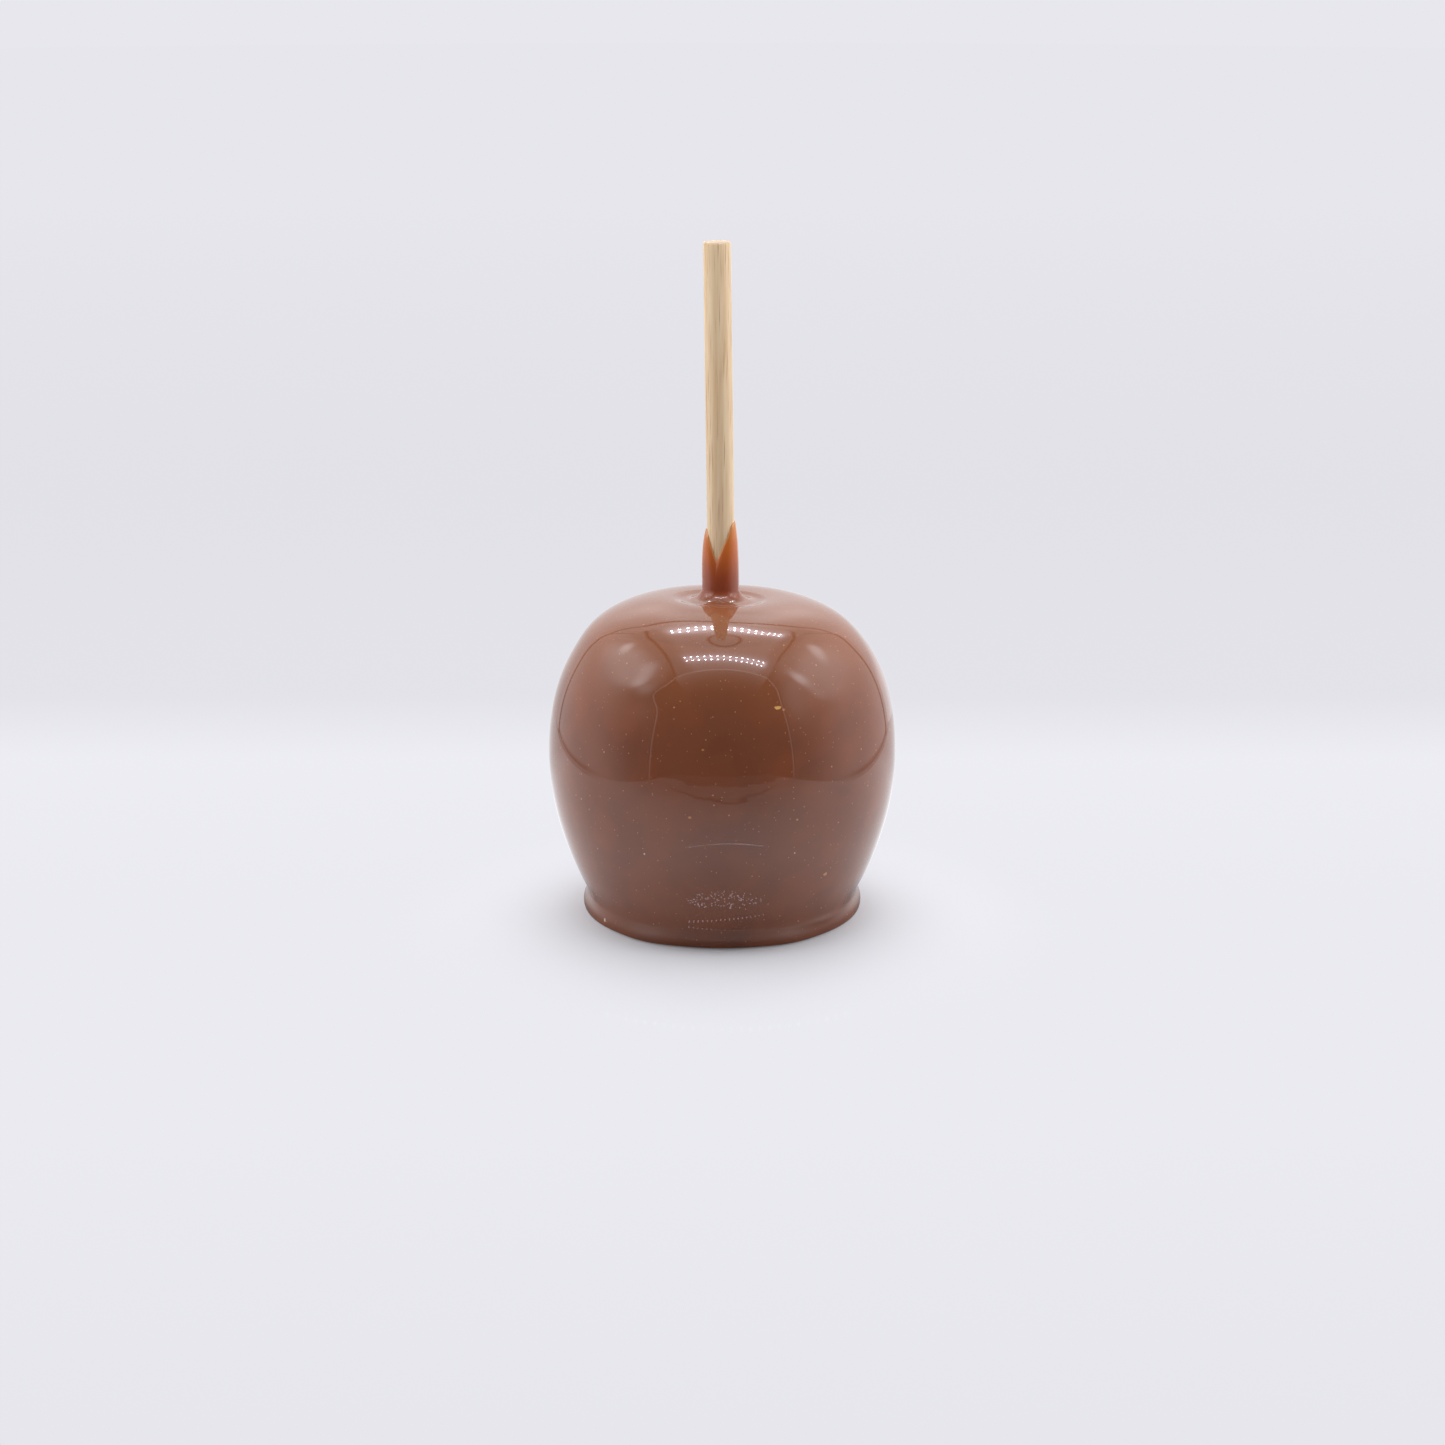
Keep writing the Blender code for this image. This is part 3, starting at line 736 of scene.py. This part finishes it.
# Gleams of the lamps on the glossy sides:
# (y, z, half width, half length, run towards +Y for each rise, radiance at left, at right)
GLEAMS = ((0, 205 * MM, 95 * MM, 78 * MM, 0, 1.55, 1.15),
          (54 * MM, 246 * MM, 20 * MM, 43 * MM, 0.5, 2.3, 2.2),
          (-73 * MM, 230 * MM, 25 * MM, 62 * MM, -0.1, 1.9, 3.0),
          (-138 * MM, 195 * MM, 40 * MM, 75 * MM, -0.1, 1.1, 0.7))
GLEAM_STEP = -10 * MM             # how much higher they lie on the right than on the left, halved
GLEAM_ROUNDNESS = 1.5             # power of the distance: the higher, the flatter they are in their middle
CORNER = (160 * MM, 200 * MM)     # y where a side turns into the back, low down and high up
CORNER_SPAN = (120 * MM, 240 * MM)  # heights between which that changes
SIDE_SEAM_HEIGHT = 3 * MM         # of the seam along the floor


def side_glow(x, y, z):
    """Radiance of a side: dim in front, rising towards the back and sooner high up, plus the gleams."""
    right = x / BOX_SIDE
    high = ease(z, *SIDE_HIGH)
    start = SIDE_START - START_BY_FLOOR * hill(z / BY_FLOOR) - START_HIGH * high
    end = SIDE_END - END_HIGH * high
    gain = SIDE_GAIN + (SIDE_GAIN_HIGH - GAIN_RIGHT * right) * high
    level = SIDE_LEVEL + SIDE_RIGHT * right + gain * ease(y, start, end)
    for at, height, half_width, half_length, run, *radiance in GLEAMS:
        rise = z - height - GLEAM_STEP * right
        away = np.hypot((y - at - run * rise) / half_width, rise / half_length)
        level = level + np.where(right < 0, *radiance) * hill(away ** GLEAM_ROUNDNESS)
    level *= 1 - SIDE_SHADE * ease(z, SIDE_SHADE_FROM, BOX_TOP)
    corner = CORNER[0] + (CORNER[1] - CORNER[0]) * ease(z, *CORNER_SPAN)
    to_floor = np.where(y < corner, z - SIDE_SEAM_HEIGHT, BOX_SIDE)
    level *= seam(to_floor, ease(y, *SEAM_FADE)) * seam(y - corner, *BACK_SEAM)
    return white(level)


# The lid's arched edge at the back: its height in the middle, its drop this far out, and the drop's power
ARCH_TOP, ARCH_DROP, ARCH_REACH, ARCH_POWER = 342 * MM, 38 * MM, 95 * MM, 1.6
# Radiance of the back in its middle, what is added at the right, and what high up, between these heights
BACK_LEVEL, BACK_RIGHT, BACK_HIGH = 0.95, 0.10, 0.20
BACK_HIGH_SPAN = (60 * MM, 190 * MM)
# Bright patches: (radiance, x of the middle, half width, from and to which height they come in)
BESIDE_STICK = (0.65, 62 * MM, 30 * MM, 120 * MM, 200 * MM)  # at both sides
OVER_ARCH = (0.8, 0, 100 * MM, 0, 30 * MM)  # heights over the arched edge
BEHIND_STICK = (0.6, 6 * MM, 60 * MM, 200 * MM, 260 * MM)
# Brighter low down at the right, and dimmer high up there: (radiance, x from and to, z from and to)
RIGHT_PATCHES = ((0.35, (60 * MM, 130 * MM), (80 * MM, 40 * MM)),
                 (-0.35, (105 * MM, 145 * MM), (260 * MM, 310 * MM)))


def patch(across, up, radiance, middle, half_width, start, end):
    """Radiance of a bright patch: a hill across, times an ease upwards."""
    return radiance * hill((across - middle) / half_width) * ease(up, start, end)


def back_glow(x, y, z):
    """Radiance of the back: brighter high up, at the right and beside the stick, under the lid's arch."""
    over_arch = z - ARCH_TOP + ARCH_DROP * (np.abs(x) / ARCH_REACH) ** ARCH_POWER
    level = BACK_LEVEL + BACK_RIGHT * x / BOX_SIDE + BACK_HIGH * ease(z, *BACK_HIGH_SPAN)
    level = level + patch(np.abs(x), z, *BESIDE_STICK)
    level = level + patch(x, over_arch, *OVER_ARCH)
    level = level + patch(x, z, *BEHIND_STICK)
    for radiance, x_span, z_span in RIGHT_PATCHES:
        level = level + radiance * ease(x, *x_span) * ease(z, *z_span)
    return white(level * seam(over_arch, *BACK_SEAM))


# Radiance of the lid at its sides, what its middle adds, and how far out from that middle it dies out
LID_LEVEL, LID_GAIN, LID_MIDDLE = 0.90, 0.55, 15 * MM
LID_GAIN_SPAN = (112 * MM, 142 * MM)
LID_SHADE = 0.30                  # share lost towards the front, between these Y
LID_SHADE_SPAN = (-140 * MM, -190 * MM)
HALOS = ((14 * MM, 2.8), (30 * MM, 2.0), (70 * MM, 0.45))  # glow round a row of lamps: (reach, radiance)
HALO_END = 2.5                    # how many times sooner it dies out past the row's ends
PORT = (5 * MM, 55 * MM, 36 * MM, 58 * MM)  # round flap in the lid: x and y of its middle, and half sizes
PORT_SHADE = 0.18                 # share lost on it
LID_FRONT = (-172 * MM, 24 * MM)  # y of its front edge in the middle, and how much nearer it is at the sides
LID_EDGE = 3 * MM                 # over which the edge ends
LID_SHEET_FRONT = -330 * MM       # out to where its glow in front has died out
LID_SPILL = 55 * MM               # how soon the glow in front of its edge dies out
LID_SPILL_RADIANCE = 0.92
FRAME = 6 * MM                    # width of the pale frame round the opening
FRAME_RADIANCE = (0.6, 1.4)       # at the floor and at the lid
FRAME_AHEAD = 4 * MM              # how far it stands in front of the sides
# Where the lid meets the sides: (y, x at left, x at right)
LID_SEAMS = ((-155 * MM, -185 * MM, 196 * MM), (-100 * MM, -176 * MM, 193 * MM),
             (-40 * MM, -165 * MM, 189 * MM), (40 * MM, -158 * MM, 186 * MM),
             (130 * MM, -157 * MM, 176 * MM), (200 * MM, -146 * MM, 150 * MM))


def lamp_line(row, x):
    """Y of a slanting row of lamps at each x."""
    return row + LAMP_SLANT * np.maximum(x, 0)


def lid_glow(x, y, z):
    """Radiance of the lid: bright in the middle and round the lamps, dim at the sides and before its edge."""
    front = LID_FRONT[0] - LID_FRONT[1] * (x / BOX_SIDE) ** 2
    seam_y, left, right = np.transpose(LID_SEAMS)
    level = LID_LEVEL + LID_GAIN * (1 - ease(np.abs(x - LID_MIDDLE), *LID_GAIN_SPAN))
    level *= 1 - LID_SHADE * ease(y, *LID_SHADE_SPAN)
    halo = 0 * x
    for row, _, start, stop in LAMP_ROWS:
        beyond = HALO_END * np.maximum(0, np.maximum(start - x, x - stop))
        for reach, radiance in HALOS:
            halo += radiance * hill(np.hypot(y - lamp_line(row, x), beyond) / reach)
    from_middle = np.hypot((x - PORT[0]) / PORT[2], (y - PORT[1]) / PORT[3])
    level *= (1 - PORT_SHADE * (from_middle < 1)) * seam((from_middle - 1) * PORT[2], *PORT_SEAM)
    at_left, at_right = (seam(x - np.interp(y, seam_y, edge), *LID_SEAM) for edge in (left, right))
    level *= at_left * at_right
    inside = ease(y, front - LID_EDGE, front)
    level = inside * level + (1 - inside) * LID_SPILL_RADIANCE * np.exp(np.minimum(0, y - front) / LID_SPILL)
    level += FRAME_RADIANCE[1] * hill((y - front - FRAME / 2) / (FRAME / 2))
    return white(level) + np.multiply.outer(halo * inside, LAMP_WHITE)


# Radiance of the floor by the opening, and how it changes from front to back: (change, y from and to)
FLOOR_LEVEL = 0.52
FLOOR_STEPS = ((0.68, (-200 * MM, -50 * MM)), (0.12, (-50 * MM, 60 * MM)), (-0.30, (70 * MM, 120 * MM)))
FLOOR_RIGHT = 0.08                # share that is added at the right and lost at the left
FLOOR_FRONT = -221 * MM           # y of its front edge, before the waves in it
FLOOR_EDGE = 4 * MM               # over which the edge ends
BEYOND = 0.13                     # radiance beyond it, out to the sheet's own front edge
# How much nearer the edge comes at the left and the right: (reach, x from and to)
FRONT_WINGS = ((36 * MM, (-60 * MM, -130 * MM)), (26 * MM, (110 * MM, 170 * MM)))
# Waves in the edge, its raggedness, and the fold's waves: (reach, way for one radian, radians at the middle)
FRONT_WAVES = ((5 * MM, 19 * MM, 0), (4 * MM, 7 * MM, 1))
RAGGED = ((2.5 * MM, 2.6 * MM, 0), (1.5 * MM, 1.5 * MM, 2))
FOLD_WAVES = ((2 * MM, 9 * MM, 0),)
# Dark line of a fold: x and y of its middle, half width, and how much nearer its ends are
FOLD = (2 * MM, -159 * MM, 120 * MM, 36 * MM)
FOLD_LINE = 3.0 * MM
FOLD_DARK, FOLD_SHADE = 0.75, 0.15  # share lost on the line, and in front of it
# Shade round the foot: (share lost, and more of it ahead of the apple, reach, and more of that ahead)
FOOT_SHADES = ((0.42, 0.20, 18 * MM, 10 * MM), (0.6, 0.25, 5 * MM, 0))
SHADE_AHEAD = 30 * MM             # half width of what counts as ahead
FLOOR_SEAM_IN = 6 * MM            # how far in from the sides the floor's seams lie


def waves(x, table, base=0):
    """Sum of sines over x on a base: each reach times the sine of x over its way, plus its start."""
    return sum((reach * np.sin(x / way + start) for reach, way, start in table), base)


def floor_glow(x, y, z):
    """Radiance of the floor: dim by the opening, with a dark fold there, and in the apple's own shade."""
    ragged = waves(x, RAGGED)
    front = waves(x, FRONT_WAVES, FLOOR_FRONT) + ragged
    for reach, span in FRONT_WINGS:
        front = front - reach * ease(x, *span)
    level = FLOOR_LEVEL
    for change, span in FLOOR_STEPS:
        level = level + change * ease(y, *span)
    level = level * (1 + FLOOR_RIGHT * x / BOX_SIDE)
    fold_x, fold_y, half, drop = FOLD
    way = (x - fold_x) / half
    line = waves(x, FOLD_WAVES, fold_y - drop * way ** 2) + ragged / 2
    level *= 1 - FOLD_DARK * hill((y - line) / FOLD_LINE) * hill(way ** 4)
    level *= 1 - FOLD_SHADE * ease(line - y, 0, FOLD_LINE) * hill(way ** 4)
    out = np.maximum(0, np.hypot(x, y) - FOOT_RADIUS)
    ahead = hill(x / SHADE_AHEAD) * (y < 0)
    for dark, dark_ahead, reach, reach_ahead in FOOT_SHADES:
        level *= 1 - (dark + dark_ahead * ahead) * hill(out / (reach + reach_ahead * ahead))
    corner = seam(BOX_SIDE - FLOOR_SEAM_IN - np.abs(x), ease(y, *SEAM_FADE))
    inside = ease(y, front, front + FLOOR_EDGE)
    return white(level * inside * corner + BEYOND * (1 - inside))


for side in (-1, 1):
    x = side * BOX_SIDE
    glow_sheet("side_sheet", (x, BOX_FRONT, 0), (0, lid_depth, 0), (0, 0, BOX_TOP), side_glow)
    strip = [(x, BOX_FRONT - FRAME_AHEAD - out, z) for z in (0, BOX_TOP) for out in (0, FRAME)]
    mirrored("frame_strip", strip, [(0, 1, 3, 2)], white(np.repeat(FRAME_RADIANCE, 2)), sheet_glow)
glow_sheet("back_sheet", (-BOX_SIDE, BOX_BACK, 0), (2 * BOX_SIDE, 0, 0), (0, 0, BOX_TOP), back_glow)
for name, height, glow in (("floor_sheet", 0, floor_glow), ("lid_sheet", BOX_TOP, lid_glow)):
    glow_sheet(name, (-BOX_SIDE, LID_SHEET_FRONT, height), (2 * BOX_SIDE, 0, 0),
               (0, BOX_BACK - LID_SHEET_FRONT, 0), glow)


def points_of_light(name, centres, height, size, radiance):
    """Small level squares round their centres, all in one mesh."""
    corner = np.array([(-1, -1), (-1, 1), (1, 1), (1, -1)]) * size / 2
    flat = (np.asarray(centres)[:, None] + corner).reshape(-1, 2)
    points = np.column_stack([flat, np.full(len(flat), height)])
    faces = np.arange(len(points)).reshape(-1, 4).tolist()
    mirrored(name, points, faces, np.outer(np.full(len(points), radiance), LAMP_WHITE), lamp_glow)


for (row, half, start, stop), pitch, size in zip(LAMP_ROWS, LAMP_PITCHES, LAMP_SIZES):
    across = np.arange(start, stop, pitch)
    pairs = [(x, lamp_line(row, x) + way * half) for x in across for way in (-1, 1)]
    points_of_light("lamp_row", pairs, BOX_TOP - LAMP_DROP, size, LAMP_RADIANCE)

# Glints of the lamps on the floor's gloss, ahead of the foot: two dotted lines that bow towards the front,
# (x from, x to, y of the ends, bow, how many, radiance), and points scattered in an oval whose ends bend back
GLINT_LINES = ((-25 * MM, 27 * MM, -72 * MM, 9 * MM, 26, 32),
               (-10 * MM, 13 * MM, -37.0 * MM, 1.5 * MM, 18, 3))
GLINT_OVAL = (1 * MM, -45.6 * MM, 14 * MM, 3.4 * MM, 110)  # x and y of its middle, half sizes, how many
GLINT_BEND = 3 * MM
GLINT_SIZE = 0.35 * MM
GLINT_HEIGHT = 1 * MM
GLINT_RADIANCE = 4.5
GLINT_SEED = 5
for start, stop, y, bow, count, radiance in GLINT_LINES:
    way = np.linspace(-1, 1, count)
    line = np.column_stack([(start + stop) / 2 + way * (stop - start) / 2, y - bow * (1 - way ** 2)])
    points_of_light("glint_line", line, GLINT_HEIGHT, GLINT_SIZE, radiance)
x, y, half_width, half_depth, count = GLINT_OVAL
turn, out = np.random.default_rng(GLINT_SEED).uniform((0, 0), (math.tau, 1), (count, 2)).T
across = np.sqrt(out) * np.cos(turn)
scatter = np.column_stack([x + half_width * across,
                           y + half_depth * np.sqrt(out) * np.sin(turn) + GLINT_BEND * across ** 2])
points_of_light("glint_scatter", scatter, GLINT_HEIGHT, GLINT_SIZE, GLINT_RADIANCE)
